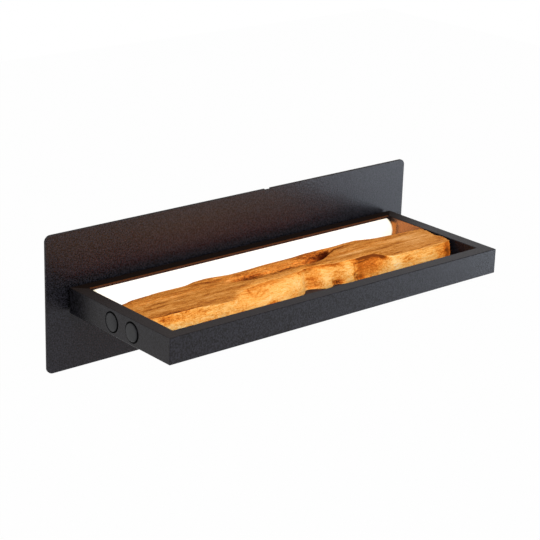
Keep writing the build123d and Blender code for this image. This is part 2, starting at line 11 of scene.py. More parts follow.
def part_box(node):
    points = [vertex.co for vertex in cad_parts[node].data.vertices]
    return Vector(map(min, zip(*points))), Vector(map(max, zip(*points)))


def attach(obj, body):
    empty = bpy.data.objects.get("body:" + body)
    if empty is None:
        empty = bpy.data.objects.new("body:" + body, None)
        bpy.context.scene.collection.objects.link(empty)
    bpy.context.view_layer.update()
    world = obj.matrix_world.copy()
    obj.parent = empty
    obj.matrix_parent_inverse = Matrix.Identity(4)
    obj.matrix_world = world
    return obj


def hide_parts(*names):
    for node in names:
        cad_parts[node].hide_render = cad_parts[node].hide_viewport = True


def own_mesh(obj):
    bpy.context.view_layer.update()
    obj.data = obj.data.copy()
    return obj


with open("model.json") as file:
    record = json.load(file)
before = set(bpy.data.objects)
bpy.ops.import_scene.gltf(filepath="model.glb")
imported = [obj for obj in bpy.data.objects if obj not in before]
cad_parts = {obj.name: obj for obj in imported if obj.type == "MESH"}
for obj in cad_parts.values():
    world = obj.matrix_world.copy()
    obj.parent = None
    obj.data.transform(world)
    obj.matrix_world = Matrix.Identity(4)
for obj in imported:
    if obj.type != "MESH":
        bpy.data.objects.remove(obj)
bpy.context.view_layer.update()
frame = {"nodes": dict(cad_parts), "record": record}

mm = 0.001
print("frame loaded:", len(frame["nodes"]), "nodes")


def newFinish(name):
    mat = bpy.data.materials.new(name)
    mat.use_nodes = True
    shader = mat.node_tree.nodes["Principled BSDF"]
    return mat, mat.node_tree, shader


def feed(tree, socket, value):  # links a socket, or sets a colour or a number
    if isinstance(value, bpy.types.NodeSocket):
        tree.links.new(value, socket)
    elif isinstance(value, tuple):
        socket.default_value = (*value, 1.0)
    else:
        socket.default_value = value


def setShader(tree, shader, **values):
    for key, value in values.items():
        feed(tree, shader.inputs[key.replace("_", " ")], value)


def grainCoords(tree, stretch=(1, 1, 1)):
    coords = tree.nodes.new("ShaderNodeTexCoord")
    mapping = tree.nodes.new("ShaderNodeMapping")
    mapping.inputs["Scale"].default_value = stretch
    tree.links.new(coords.outputs["Object"], mapping.inputs["Vector"])
    return mapping.outputs["Vector"]


def addNoise(tree, vector, scale, detail=3.0, rough=0.55):
    tex = tree.nodes.new("ShaderNodeTexNoise")
    tex.inputs["Scale"].default_value = scale
    tex.inputs["Detail"].default_value = detail
    tex.inputs["Roughness"].default_value = rough
    tree.links.new(vector, tex.inputs["Vector"])
    return tex.outputs["Fac"]


def addRamp(tree, factor, stops):
    ramp = tree.nodes.new("ShaderNodeValToRGB")
    band = ramp.color_ramp
    while len(band.elements) < len(stops):
        band.elements.new(0.5)
    for element, (place, colour) in zip(band.elements, stops):
        element.position = place
        element.color = (*colour, 1.0)
    tree.links.new(factor, ramp.inputs["Fac"])
    return ramp.outputs["Color"]


def addMix(tree, factor, first, second, kind="MIX"):
    mix = tree.nodes.new("ShaderNodeMix")
    mix.data_type = "RGBA"
    mix.blend_type = kind
    for index, value in ((0, factor), (6, first), (7, second)):  # the colour sockets of the node
        feed(tree, mix.inputs[index], value)
    return mix.outputs[2]


def addMath(tree, kind, *values, clamp=False):
    node = tree.nodes.new("ShaderNodeMath")
    node.operation = kind
    node.use_clamp = clamp
    for socket, value in zip(node.inputs, values):
        feed(tree, socket, value)
    return node.outputs[0]


def addRange(tree, factor, low, high, start=0.0, end=1.0):
    node = tree.nodes.new("ShaderNodeMapRange")
    node.inputs["From Min"].default_value = start
    node.inputs["From Max"].default_value = end
    node.inputs["To Min"].default_value = low
    node.inputs["To Max"].default_value = high
    tree.links.new(factor, node.inputs["Value"])
    return node.outputs["Result"]


def addBump(tree, shader, height, depth, strength=1.0):
    bump = tree.nodes.new("ShaderNodeBump")
    bump.inputs["Strength"].default_value = strength
    bump.inputs["Distance"].default_value = depth
    tree.links.new(height, bump.inputs["Height"])
    tree.links.new(bump.outputs["Normal"], shader.inputs["Normal"])


def weighted(tree, base, parts):  # base, plus each noise by its weight about its middle
    total = base - sum(0.5 * weight for socket, weight in parts)
    for socket, weight in parts:
        total = addMath(tree, "MULTIPLY_ADD", socket, weight, total)
    return total


def splitAxes(tree, vector):
    node = tree.nodes.new("ShaderNodeSeparateXYZ")
    tree.links.new(vector, node.inputs[0])
    return node.outputs


def meshValue(tree, name):
    node = tree.nodes.new("ShaderNodeAttribute")
    node.attribute_name = name
    return node.outputs["Fac"]


powder = {
    "dark": (0.0012, 0.0011, 0.0013),
    "light": (0.0166, 0.0161, 0.0212),
    "stops": (0.40, 0.60),  # where the mottle is dark, and where it is light
    "mottle": (720.0, 4.0, 0.6),
    "pebble": (980.0, 2.0, 0.5),
    "pebbleDepth": 0.00013,
    "rough": (0.24, 0.42),
    "roughTop": 0.22,  # this much duller where it faces up
    "specular": 0.23,
    "rearSpecular": 0.06,  # the rear rail, which sits beside the tube
    "tint": (1.0, 0.92, 0.92),
    "paintedTopShade": (0.0045, 0.0021, 0.0013),  # painted shade, tinted warm: the up-facing tops near the tube and at the left are painted dark brown
    "paintedTopShadeRough": 0.18,
    "paintedTopShadeRear": (-0.085, -0.035),  # y where the brown starts, and where it is full
    "paintedTopShadeLeft": (0.04, -0.19),  # the same in x
    "paintedTopShadeLeftShare": 0.75,
    "rim": (0.085, 0.028, 0.008),  # painted glow: the tube's warm light painted as a band on the rear rail's inner top edge
    "paintedGlowHalfWide": 0.0009,
    "paintedGlowHalfLong": 0.1675,
    "edgeInset": 0.0003,
    "edgeReach": 0.0004,
    "edgeShade": 0.45,
}


def paintedEdgeShade(tree, place):  # painted shade: a dark line along the sharp front edges of the frame, made by turning the edge metallic over the dark base
    low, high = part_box("front_rail")
    inset, reach = powder["edgeInset"], powder["edgeReach"]
    side = addMath(tree, "COMPARE", addMath(tree, "ABSOLUTE", place["X"]), high[0] - inset, reach)
    front = addMath(tree, "COMPARE", place["Y"], low[1] + inset, reach)
    top = addMath(tree, "COMPARE", place["Z"], high[2] - inset, reach)
    alongTop = addMath(tree, "MULTIPLY", front, top)
    alongSide = addMath(tree, "MULTIPLY", front, side)
    return addMath(tree, "MULTIPLY", addMath(tree, "MAXIMUM", alongTop, alongSide), powder["edgeShade"])


# painted shade, tinted warm: darker brown on the up-facing tops towards the rear and the left
def paintedTopShadeTops(tree, place, upward):
    rear = addRange(tree, place["Y"], 0.0, 1.0, *powder["paintedTopShadeRear"])
    left = addRange(tree, place["X"], 0.0, powder["paintedTopShadeLeftShare"], *powder["paintedTopShadeLeft"])
    return addMath(tree, "MULTIPLY", upward, addMath(tree, "MAXIMUM", rear, left))


# painted glow: a warm band along the rear rail's inner top edge, standing in for the tube's light falling
# on it
def paintedGlowRim(tree, place, upward):
    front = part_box("rear_rail")[0][1]
    halfWide = powder["paintedGlowHalfWide"]
    inner = addMath(tree, "COMPARE", place["Y"], front + halfWide, halfWide)
    inside = addMath(tree, "LESS_THAN", addMath(tree, "ABSOLUTE", place["X"]), powder["paintedGlowHalfLong"])
    return addMath(tree, "MULTIPLY", addMath(tree, "MULTIPLY", inner, upward), inside)


def makePowderCoat(name, specular):
    mat, tree, shader = newFinish(name)
    vector = grainCoords(tree)
    mottle = addNoise(tree, vector, *powder["mottle"])
    pebble = addNoise(tree, vector, *powder["pebble"])
    coords = tree.nodes.new("ShaderNodeTexCoord")
    place = splitAxes(tree, coords.outputs["Object"])
    upward = addMath(tree, "MAXIMUM", splitAxes(tree, coords.outputs["Normal"])["Z"], 0.0)
    paintedTopShade = paintedTopShadeTops(tree, place, upward)

    colour = addRamp(tree, mottle, list(zip(powder["stops"], (powder["dark"], powder["light"]))))
    # painted shade on the up-facing tops
    colour = addMix(tree, paintedTopShade, colour, powder["paintedTopShade"])
    # painted glow on the rear rail's inner top edge
    colour = addMix(tree, paintedGlowRim(tree, place, upward), colour, powder["rim"])
    duller = addMath(tree, "MULTIPLY", upward, powder["roughTop"])
    duller = addMath(tree, "ADD", duller, addMath(tree, "MULTIPLY", paintedTopShade, powder["paintedTopShadeRough"]))
    rough = addMath(tree, "ADD", addRange(tree, mottle, *powder["rough"]), duller)
    # the metallic mask paints the dark line of shade along the front edges
    setShader(tree, shader, Base_Color=colour, Roughness=rough, Metallic=paintedEdgeShade(tree, place),
              Specular_IOR_Level=specular, Specular_Tint=powder["tint"])
    addBump(tree, shader, pebble, powder["pebbleDepth"])
    return mat


metal = {"grain": (700.0, 4.0, 0.6), "shade": 0.8, "stops": (0.25, 0.75), "spread": (-0.07, 0.1),
         "depth": 0.00001}


def makeMetal(name, colour, rough, brush=(1, 1, 1)):
    mat, tree, shader = newFinish(name)
    streak = addNoise(tree, grainCoords(tree, brush), *metal["grain"])
    darker = tuple(metal["shade"] * c for c in colour)
    duller = addRange(tree, streak, *(rough + change for change in metal["spread"]))
    shades = addRamp(tree, streak, list(zip(metal["stops"], (darker, colour))))
    setShader(tree, shader, Base_Color=shades, Roughness=duller, Metallic=1.0)
    addBump(tree, shader, streak, metal["depth"])
    return mat


plastic = {"stops": (0.3, 0.7), "spread": (-0.06, 0.08), "shade": 0.14, "patches": (60.0, 2.0, 0.5)}


def makePlastic(name, colour, rough, scale=1800.0, depth=0.00002, specular=0.5):
    mat, tree, shader = newFinish(name)
    vector = grainCoords(tree)
    grain = addNoise(tree, vector, scale)
    patches = addNoise(tree, vector, *plastic["patches"])
    low = tuple(c * (1 - plastic["shade"]) for c in colour)
    high = tuple(min(1.0, c * (1 + plastic["shade"])) for c in colour)
    duller = addRange(tree, grain, *(rough + change for change in plastic["spread"]))
    shades = addRamp(tree, patches, list(zip(plastic["stops"], (low, high))))
    setShader(tree, shader, Base_Color=shades, Roughness=duller, Specular_IOR_Level=specular)
    addBump(tree, shader, grain, depth)
    return mat


opal = {
    "colour": (1.0, 0.975, 0.92),
    "ends": (0.93, 0.91, 0.80),
    "strength": 0.95,
    "fade": (0.14, 0.166),  # from the middle: where the tube starts to dim, and where it ends
    "capColour": (0.95, 0.86, 0.66),
    "capStrength": 0.6,
    "body": (0.3, 0.29, 0.26),
    "haze": (35.0, 2.0, 0.5),
    "stops": (0.3, 0.7),
    "warm": 0.96,
    "rough": (0.38, 0.46),
}


def makeOpal(name, colour, strength):
    mat, tree, shader = newFinish(name)
    vector = grainCoords(tree)
    haze = addNoise(tree, vector, *opal["haze"])
    warm = tuple(opal["warm"] * c for c in colour)
    middle = addRamp(tree, haze, list(zip(opal["stops"], (warm, colour))))
    fromMiddle = addMath(tree, "ABSOLUTE", splitAxes(tree, vector)["X"])
    fade = addRange(tree, fromMiddle, 0.0, 1.0, *opal["fade"])
    glow = addMix(tree, fade, middle, opal["ends"], "MULTIPLY")
    setShader(tree, shader, Emission_Color=glow, Roughness=addRange(tree, haze, *opal["rough"]),
              Base_Color=opal["body"], Emission_Strength=strength)
    return mat


teak = {
    # the face's colours are lighter than the top's: partly the wood's own tone and partly painted light
    # from the front on the face
    "top": [(0.0, (0.04, 0.006, 0.0004)), (0.18, (0.15, 0.034, 0.0035)), (0.34, (0.33, 0.10, 0.013)),
            (0.48, (0.50, 0.185, 0.028)), (0.62, (0.62, 0.27, 0.06)), (0.85, (0.80, 0.44, 0.17))],
    "face": [(0.04, (0.18, 0.04, 0.004)), (0.22, (0.54, 0.13, 0.010)), (0.38, (0.80, 0.29, 0.04)),
             (0.54, (0.92, 0.465, 0.115)), (0.70, (0.95, 0.57, 0.205)), (0.92, (0.98, 0.68, 0.34))],
    # painted shade: the near-black colour of the deep hollow and the cracks
    "hollow": (0.055, 0.006, 0.0002),
    "specular": 0.04,
    "wave": (20.0, 3.0),
    "bend": (0.0, 0.012, 0.009),
    # scale along the grain, scale across it, detail, turn in degrees, roughness
    "streaks": {
        "bands": (10.0, 170.0, 5.0, 0.0, 0.62),  # growth bands, about 6 mm apart
        "lines": (30.0, 420.0, 5.0, 0.0, 0.7),
        "dashes": (190.0, 560.0, 3.0, 0.0, 0.7),  # short dark pores
        "fibres": (60.0, 1300.0, 3.0, 0.0, 0.7),
        "slant": (60.0, 420.0, 5.0, 24.0, 0.66),
        "scratches": (110.0, 1100.0, 3.0, 32.0, 0.6),
    },
    "spots": {"cloud": (60.0, 5.0, 0.62), "burl": (300.0, 6.0, 0.75), "grit": (1000.0, 2.0, 0.6)},
    "topMix": {"bands": 0.58, "lines": 0.58, "dashes": 0.6, "fibres": 0.42, "grit": 0.5},
    "faceMix": {"slant": 0.5, "scratches": 0.75, "cloud": 0.26, "grit": 0.55},
    "speckMix": {"burl": 1.5, "dashes": 0.6},
    "speckBase": -0.06,
    "pitMix": {"lines": -1.6},
    "bumpMix": {"lines": 0.5, "dashes": 0.5, "fibres": 0.4},
    "bump": (0.0005, 0.8),
    "calm": (1.7, 0.1),  # the deep orange parts are smoother
    "rough": (0.5, 0.72),
}


def makeTeak():
    mat, tree, shader = newFinish("oiledWood")
    plain = grainCoords(tree)
    wave = tree.nodes.new("ShaderNodeTexNoise")  # bends the grain a little
    wave.inputs["Scale"].default_value, wave.inputs["Detail"].default_value = teak["wave"]
    tree.links.new(plain, wave.inputs["Vector"])
    bend = tree.nodes.new("ShaderNodeVectorMath")
    bend.operation = "MULTIPLY"
    bend.inputs[1].default_value = teak["bend"]
    tree.links.new(wave.outputs["Color"], bend.inputs[0])
    bent = tree.nodes.new("ShaderNodeVectorMath")
    bent.operation = "ADD"
    tree.links.new(plain, bent.inputs[0])
    tree.links.new(bend.outputs["Vector"], bent.inputs[1])

    grains = {}
    for name, (along, across, detail, turn, rough) in teak["streaks"].items():
        stretch = tree.nodes.new("ShaderNodeMapping")
        stretch.inputs["Rotation"].default_value = (0, math.radians(turn), 0)
        stretch.inputs["Scale"].default_value = (along, across, across)
        tree.links.new(bent.outputs["Vector"], stretch.inputs["Vector"])
        grains[name] = addNoise(tree, stretch.outputs["Vector"], 1.0, detail, rough)
    for name, values in teak["spots"].items():
        grains[name] = addNoise(tree, plain, *values)

    def blend(base, mix):
        return weighted(tree, base, [(grains[name], weight) for name, weight in teak[mix].items()])

    tone = meshValue(tree, "tone")
    top = addRamp(tree, addMath(tree, "ADD", blend(0.0, "topMix"), tone), teak["top"])
    specks = addMath(tree, "MULTIPLY", blend(teak["speckBase"], "speckMix"), meshValue(tree, "speck"))
    calm = addMath(tree, "MULTIPLY_ADD", tone, *teak["calm"])
    faceTone = addMath(tree, "MULTIPLY", blend(0.0, "faceMix"), calm)
    faceTone = addMath(tree, "ADD", addMath(tree, "ADD", faceTone, specks), tone)
    colour = addMix(tree, meshValue(tree, "face"), top, addRamp(tree, faceTone, teak["face"]))
    # painted shade: the deep hollow and the cracks are painted near black
    paintedPitShade = addMath(tree, "MULTIPLY", meshValue(tree, "dark"), blend(1.0, "pitMix"), clamp=True)
    colour = addMix(tree, paintedPitShade, colour, teak["hollow"])
    setShader(tree, shader, Base_Color=colour, Roughness=addRange(tree, grains["fibres"], *teak["rough"]),
              Specular_IOR_Level=teak["specular"])
    addBump(tree, shader, blend(0.5, "bumpMix"), *teak["bump"])
    return mat


finishes = {
    "powder_coat": makePowderCoat("charcoalPowderCoat", powder["specular"]),
    "zinc_steel": makeMetal("zincPlatedSteel", (0.62, 0.63, 0.64), 0.36),
    "opal_plastic": makeOpal("glowingOpal", opal["colour"], opal["strength"]),
    "teak": makeTeak(),
    "aluminium": makeMetal("bareAluminium", (0.75, 0.76, 0.77), 0.33, brush=(0.05, 1, 1)),
    "board_white": makePlastic("whiteSolderMask", (0.82, 0.82, 0.79), 0.35),
    "led_phosphor": makePlastic("yellowPhosphor", (0.86, 0.62, 0.14), 0.22),
    "black_plastic": makePlastic("blackSatinPlastic", (0.017, 0.017, 0.018), 0.42, specular=0.45),
    "grey_plastic": makePlastic("paleGreyPlastic", (0.66, 0.66, 0.63), 0.5),
    "circuit_green": makePlastic("greenSolderMask", (0.03, 0.16, 0.06), 0.3),
    "component_dark": makePlastic("darkComponent", (0.02, 0.02, 0.022), 0.3),
    "brass": makeMetal("bareBrass", (0.72, 0.5, 0.2), 0.3),
    "spring_steel": makeMetal("drawnSpringWire", (0.5, 0.5, 0.51), 0.32),
    "lead_insulation": makePlastic("blackInsulation", (0.02, 0.02, 0.02), 0.55),
}
# the rear rail's coat has less specular; like the other coat it carries the painted glow band and the
# painted top shade
rearRailCoat = makePowderCoat("rearRailPowderCoat", powder["rearSpecular"])
opalCap = makeOpal("glowingOpalCap", opal["capColour"], opal["capStrength"])
buttonPaint = makePlastic("satinButtonPaint", (0.0085, 0.0083, 0.0105), 0.34, scale=500.0, depth=0.00003,
                          specular=0.3)
# painted shade: the button cups and cap bodies are made near black so the ring round each button reads as
# shade in its gap
shadowBlack = makePlastic("paintedGapShadeBlack", (0.0009, 0.0009, 0.001), 0.8, specular=0.04)

slots = {part["node"]: part["material_slot"] for part in frame["record"]["subparts"]}
ownFinish = {
    "rear_rail": rearRailCoat,
    "diffuser_cap_left": opalCap,
    "diffuser_cap_right": opalCap,
    # the cups and cap bodies take the near-black painted gap shade
    "switch_cup_rear": shadowBlack,
    "switch_cup_front": shadowBlack,
    "button_cap_rear": shadowBlack,
    "button_cap_front": shadowBlack,
}
for nodeName, node in frame["nodes"].items():
    node.data.materials.clear()
    node.data.materials.append(ownFinish.get(nodeName, finishes[slots[nodeName]]))
print("finishes made:", len(finishes))


def finishMesh(build, mesh):
    bmesh.ops.recalc_face_normals(build, faces=build.faces)
    build.to_mesh(mesh)
    build.free()
    mesh.shade_smooth()


def placePiece(name, mesh, finish):
    mesh.materials.append(finish)
    piece = bpy.data.objects.new(name, mesh)
    bpy.context.collection.objects.link(piece)
    return piece


shelf = {
    "left": -167.7,
    "right": 165.4,
    "top": 12.9,
    "bottom": -5.05,
    "step": 0.7,
    "topPoints": 96,
    "facePoints": 44,
    "underPoints": 10,
    "backPoints": 12,
    # (x, y) of the upper edge at the back
    "backEdge": [
        (-168, -80.5), (-161.5, -79), (-154, -76.8), (-141, -75.7), (-130, -74.2), (-104, -74.8),
        (-97, -74.1), (-89, -71.4), (-76, -70.7), (-64, -72.1), (-53, -74), (-33, -73.9), (-19, -72.6),
        (1, -72.5), (22, -71.7), (37, -70.5), (51, -70.4), (65, -70.8), (81, -69.6), (95, -69.8),
        (101, -71.2), (113, -74.8), (121, -76.2), (145, -78.3), (158, -79), (166, -81),
    ],
    # (x, y) where the top turns over into the front face
    "frontEdge": [
        (-168, -118.5), (-156, -120.2), (-125, -121), (-108, -123), (-97, -125), (-88, -125.5), (-80, -120),
        (-72, -112.5), (-64, -108.5), (-56, -106.3), (-42, -104.0), (-26, -104.8), (-13, -103.8), (2, -102),
        (8, -99.6), (18, -98.5), (28, -99.5), (37, -102.5), (47, -104.5), (61, -105.6), (75, -104.8),
        (85, -105.5), (88.5, -109), (91, -117), (95, -119), (105, -120.2), (117, -120.2), (128, -120.4),
        (140, -121), (153, -120.2), (166, -119.2),
    ],
    # (x, y) of the lower front edge
    "foot": [
        (-168, -125), (-140, -128.5), (-105, -132), (-84, -133.5), (-60, -131), (-30, -126), (-12, -119),
        (-6, -114.5), (0, -112), (6, -106.4), (11, -106.2), (18, -109.6), (24, -113.4), (31, -112.6),
        (35, -110), (39, -110.2), (44, -113), (57, -114.5), (60, -113), (75, -114), (84, -117.5),
        (90, -124), (112, -126.5), (130, -127), (166, -126.5),
    ],
    # (y, x) of the sawn right end
    "endLine": [
        (-127, 159.8), (-123.1, 163.1), (-119.8, 164.7), (-109.3, 167.3), (-101.1, 164.6), (-89.7, 167.3),
        (-80.3, 165.9),
    ],
    # (x, 0..1) how round the shoulder is: 0 a crisp edge, 1 a quarter round
    "round": [
        (-168, 0.15), (-100, 0.15), (-84, 0.5), (-60, 0.8), (-20, 0.75), (0, 0.5), (20, 0.35), (50, 0.4),
        (61, 0.75), (84, 0.75), (90, 0.6), (98, 0.5), (112, 0.2), (166, 0.1),
    ],
    # (x, depth) of the long hollow behind the ridge
    "hollow": [
        (-168, 0), (-86, 0), (-80, 0.9), (-68, 2.4), (-55, 4.2), (-35, 4.4), (-15, 3.6), (5, 3.4),
        (20, 4.4), (28, 6.0), (34, 9), (52, 9), (57, 7.0), (60, 3), (63, 0), (166, 0),
    ],
    # (x, y) of the hollow's deepest line and of the ridge in front of it
    "hollowLine": [
        (-168, -80), (-88, -80), (-76, -83), (-56, -87.5), (-33, -89.5), (3, -88), (25, -86.5), (36, -85),
        (44, -82), (52, -78.5), (58, -75.8), (64, -75.8), (70, -80), (166, -80),
    ],
    "ridge": [
        (-168, -84), (-88, -82), (-80, -84), (-68, -88.5), (-56, -94), (-45, -97), (-29, -98), (-13, -97.2),
        (7, -96), (24, -94.6), (34, -94), (42, -90.5), (51, -85.5), (58, -80.8), (63, -79.5), (70, -83),
        (166, -84),
    ],
    # (x, drop) how far the crest has fallen where the pale face begins
    "crest": [
        (-168, 0.2), (-95, 0.4), (-80, 1.2), (-60, 1.6), (-30, 1.4), (5, 0.9), (40, 1.0), (60, 0.5),
        (88, 0.6), (96, 0.9), (115, 0.4), (166, 0.2),
    ],
    # hollows and bulges of the front face: x, half width, depth (minus is a bulge)
    "scoops": [
        (13.5, 7.0, 2.2), (41.0, 7.0, 1.4), (67.0, 9.0, 2.2), (-110.0, 30.0, 0.5), (-24.0, 9.0, -0.9),
        (26.0, 4.0, -0.9), (51.5, 3.5, -0.8), (96.5, 5.0, -0.8), (-49.0, 7.0, -0.6), (-36.0, 4.0, 0.5),
    ],
    # upright cracks at the foot: x, half width, depth, height
    "cracks": [
        (33.6, 0.45, 1.6, 6.0), (35.8, 0.35, 1.0, 4.5), (38.2, 0.35, 0.8, 4.0), (56.0, 0.4, 1.2, 9.0),
        (57.8, 0.5, 1.8, 8.0), (60.2, 0.45, 1.2, 6.5),
    ],
    # colour of the front face: x, share of the height from the top, half width, half height,
    # lighter or darker, specks
    # the darker touches in the scooped bays near x 15, 42 and 60 to 90 are partly painted shade, partly the
    # wood's deeper orange; the rest are the wood's own tone
    "faceTouches": [
        (-152, 0.16, 10, 0.18, -0.26, 0.6), (-134, 0.30, 14, 0.14, -0.08, 0.3),
        (-150, 0.62, 14, 0.22, 0.20, 0), (-126, 0.14, 12, 0.07, -0.10, 0), (-120, 0.5, 16, 0.2, 0.06, 0),
        (-96, 0.5, 9, 0.3, 0.10, 0), (-80.5, 0.5, 2.6, 0.4, -0.06, 0), (-72, 0.62, 6, 0.3, 0.10, 0),
        (-42, 0.06, 26, 0.09, -0.26, 0), (-56, 0.30, 10, 0.10, -0.08, 0), (-47, 0.68, 7, 0.14, -0.34, 0),
        (-52, 0.55, 12, 0.18, 0.14, 0), (-24, 0.38, 17, 0.20, 0.08, 0), (-18.5, 0.70, 3.4, 0.2, -0.06, 0),
        (-8, 0.35, 8, 0.22, 0.10, 0), (3.5, 0.55, 2.6, 0.3, 0.10, 0), (8, 0.02, 3.4, 0.07, -0.26, 0.5),
        (15, 0.62, 6.5, 0.5, -0.21, 0), (27, 0.62, 5.5, 0.44, 0.15, 0), (44, 0.10, 9, 0.14, -0.12, 0),
        (28, 0.12, 8, 0.08, -0.12, 0), (38, 0.06, 9, 0.10, -0.24, 0), (16, 0.08, 24, 0.12, -0.18, 0),
        (42, 0.52, 5.5, 0.34, -0.12, 0), (40, 0.87, 4.5, 0.12, -0.28, 0.3), (51, 0.45, 3.4, 0.40, 0.12, 0),
        (57.5, 0.62, 1.8, 0.40, -0.06, 0.9), (58, 0.1, 3, 0.12, -0.1, 0.3), (65, 0.45, 5, 0.7, -0.22, 0),
        (76, 0.40, 12, 0.5, -0.27, 0), (87, 0.82, 6, 0.22, 0.14, 0), (89, 0.10, 3.5, 0.14, -0.30, 0),
        (64, 0.88, 7, 0.15, -0.20, 0), (70, 0.03, 9, 0.08, -0.40, 0.3), (86, 0.08, 6, 0.12, -0.26, 0),
        (78, 0.12, 8, 0.10, -0.14, 0), (95, 0.40, 5.0, 0.42, 0.34, 0), (98, 0.04, 6, 0.06, 0.20, 0),
        (101, 0.5, 5, 0.4, 0.12, 0), (110, 0.30, 7, 0.10, -0.08, 0.7), (124, 0.5, 14, 0.3, 0.05, 0),
        (141, 0.5, 7, 0.4, 0.06, 0), (162, 0.5, 5.5, 0.8, -0.40, 0), (151, 0.4, 9, 0.5, -0.16, 0),
    ],
    # thin marks on the front face: x, share of the height from the top, half length, half thickness,
    # lean, lighter or darker
    # the dark upright marks over the cracks near x 33 to 60 are painted shade; the rest are marks in the
    # wood
    "strokes": [
        (-54, 0.20, 4.5, 0.3, -8, -0.16), (-50.5, 0.27, 6.5, 0.3, -9, -0.16),
        (-49, 0.38, 6.5, 0.3, -5, -0.13), (-23.5, 0.45, 5.0, 0.3, 2, -0.2), (-52, 0.64, 3.0, 0.4, 5, -0.2),
        (-41, 0.66, 1.6, 0.5, 70, -0.2), (9.5, 0.05, 1.6, 0.6, 40, -0.40),
        (33.4, 0.86, 2.6, 0.35, 86, -0.6), (35.2, 0.84, 2.2, 0.35, 82, -0.5),
        (36.8, 0.86, 1.8, 0.3, 80, -0.5), (38.6, 0.88, 1.6, 0.3, 76, -0.45),
        (40.4, 0.9, 1.2, 0.3, 70, -0.4), (55.2, 0.76, 2.2, 0.3, 86, -0.5), (57.2, 0.70, 2.8, 0.3, 94, -0.5),
        (59.4, 0.80, 2.0, 0.35, 88, -0.45), (58.6, 0.32, 3.4, 0.5, 86, -0.18),
        (74, 0.07, 12, 0.5, 0, -0.26), (68, 0.18, 7, 0.4, -3, -0.2), (108, 0.26, 5, 0.4, -14, -0.24),
        (111, 0.38, 4, 0.4, -10, -0.22), (105, 0.42, 3, 0.4, 10, -0.2),
    ],
    # small marks at random places: across is the share of the height on the face, and y on the top
    "chance": 12,
    "scratches": {"count": 150, "x": (-160, 160), "across": (0.05, 0.95), "half": (1.5, 5.5),
                  "thin": (0.25, 0.5), "lean": (-12, 12), "signs": (-1, -1, 0.7), "shade": (0.06, 0.17)},
    "pores": {"count": 260, "x": (-165, 165), "across": (-124, -71), "half": (2, 13),
              "thin": (0.4, 0.9), "lean": (1, 2), "signs": (-1, -1, 0.6), "shade": (0.04, 0.13)},
    # (x, shade) how much painted shade darkens the hollow
    "paintedHollowShade": [
        (-168, 0), (-86, 0), (-74, 0.10), (-50, 0.20), (-32, 0.20), (-22, 0.12), (-10, 0.05), (8, 0.06),
        (22, 0.10), (32, 0.14), (44, 0.26), (60, 0.30), (63, 0.05), (166, 0),
    ],
    "backDarker": 0.45,  # how much darker the back face is
    # (x, share) where the hollow is painted nearly black, as painted shade
    "hole": [(-168, 0), (36, 0), (42, 0.3), (47, 0.75), (52, 1), (62, 1), (66, 0), (166, 0)],
    # colour of the top: x, y, half length, half width, lighter or darker
    # the darker touches in and beside the hollow are partly painted shade; the rest are the wood's own tone
    "topTouches": [
        (-146, -119.3, 26, 1.0, -0.44), (-140, -114.5, 30, 1.0, -0.20), (-120, -100, 40, 2.0, 0.06),
        (-150, -96, 16, 1.6, -0.04), (-112, -88, 22, 1.2, -0.10), (-96, -108, 14, 1.5, 0.10),
        (-84, -119, 9, 2.4, -0.04), (-76, -79, 14, 2.2, -0.30), (-62, -104, 14, 2, -0.12),
        (-44, -79.5, 11, 1.8, -0.15), (-33, -84.5, 12, 2.0, -0.17), (-46, -92, 14, 2.4, -0.22),
        (-27, -94, 16, 1.6, -0.36), (-16, -83, 12, 3.0, 0.10), (3, -85.5, 9, 0.8, -0.40),
        (10, -91, 14, 2.6, -0.14), (20, -80, 10, 2.4, 0.06), (27, -76, 12, 1.0, -0.22),
        (62, -77, 14, 1.6, -0.30), (52, -82, 5, 2.4, -0.22), (70, -89, 24, 1.4, -0.10),
        (72, -95.3, 22, 1.7, 0.30), (99, -100.2, 14, 1.0, -0.34), (60, -101, 9, 1.6, -0.12),
        (103, -116, 9, 1.0, -0.22), (84, -105, 8, 1.4, -0.2), (120, -97, 18, 1.3, -0.20),
        (144, -101, 20, 1.4, 0.20), (140, -90, 20, 2.6, 0.10), (128, -108, 26, 2.2, 0.14),
        (128, -84, 22, 1.2, -0.12), (105, -92, 45, 11, 0.09), (142, -98, 16, 11, 0.11),
        (100, -106, 14, 4, 0.08), (66, -95, 16, 3, 0.08), (35, -73, 26, 2.4, -0.24),
        (22, -97.5, 26, 2.2, -0.14),
    ],
    # how far, in mm along x, each line above is smoothed
    "soften": {"backEdge": 2.0, "frontEdge": 1.2, "foot": 1.0, "round": 3.0, "hollow": 1.0,
               "hollowLine": 2.5, "ridge": 2.5, "crest": 3.0, "hole": 1.5, "paintedHollowShade": 3.0},
    # noises: waves per mm along x, y and z, and the place they start from
    "noises": {"ragged": ((0.11, 0.2, 0), 8.1), "swell": ((0.035, 0.11, 0.11), 3.7),
               "grain": ((0.05, 0.9, 0.9), 11.3), "fibre": ((0.16, 2.2, 2.2), 17.9),
               "ripple": ((0.14, 0.28, 0.28), 21.9), "chisel": ((0.4, 0.55, 0.55), 31.1),
               "turnWave": ((0.10, 0.3, 0.3), 44.4), "turnChip": ((0.5, 0.9, 0.9), 45.5),
               "endBroad": ((0.0, 0.3, 0.5), 57.0), "endFine": ((0.0, 1.1, 1.3), 61.0),
               "endChips": ((0.0, 0.7, 0.5), 71.0)},
    # how much of each noise goes into the relief, in mm, and into the outlines of the colours
    "relief": {"top": {"swell": 0.45, "grain": 0.2, "fibre": 0.1}, "hollow": {"chisel": 0.5, "ripple": 0.4},
               "face": {"swell": 0.45, "ripple": 0.4, "chisel": 0.25, "grain": 0.1},
               "back": {"ripple": 0.4}, "touchX": {"ripple": 1.6}, "touchDown": {"chisel": 0.05},
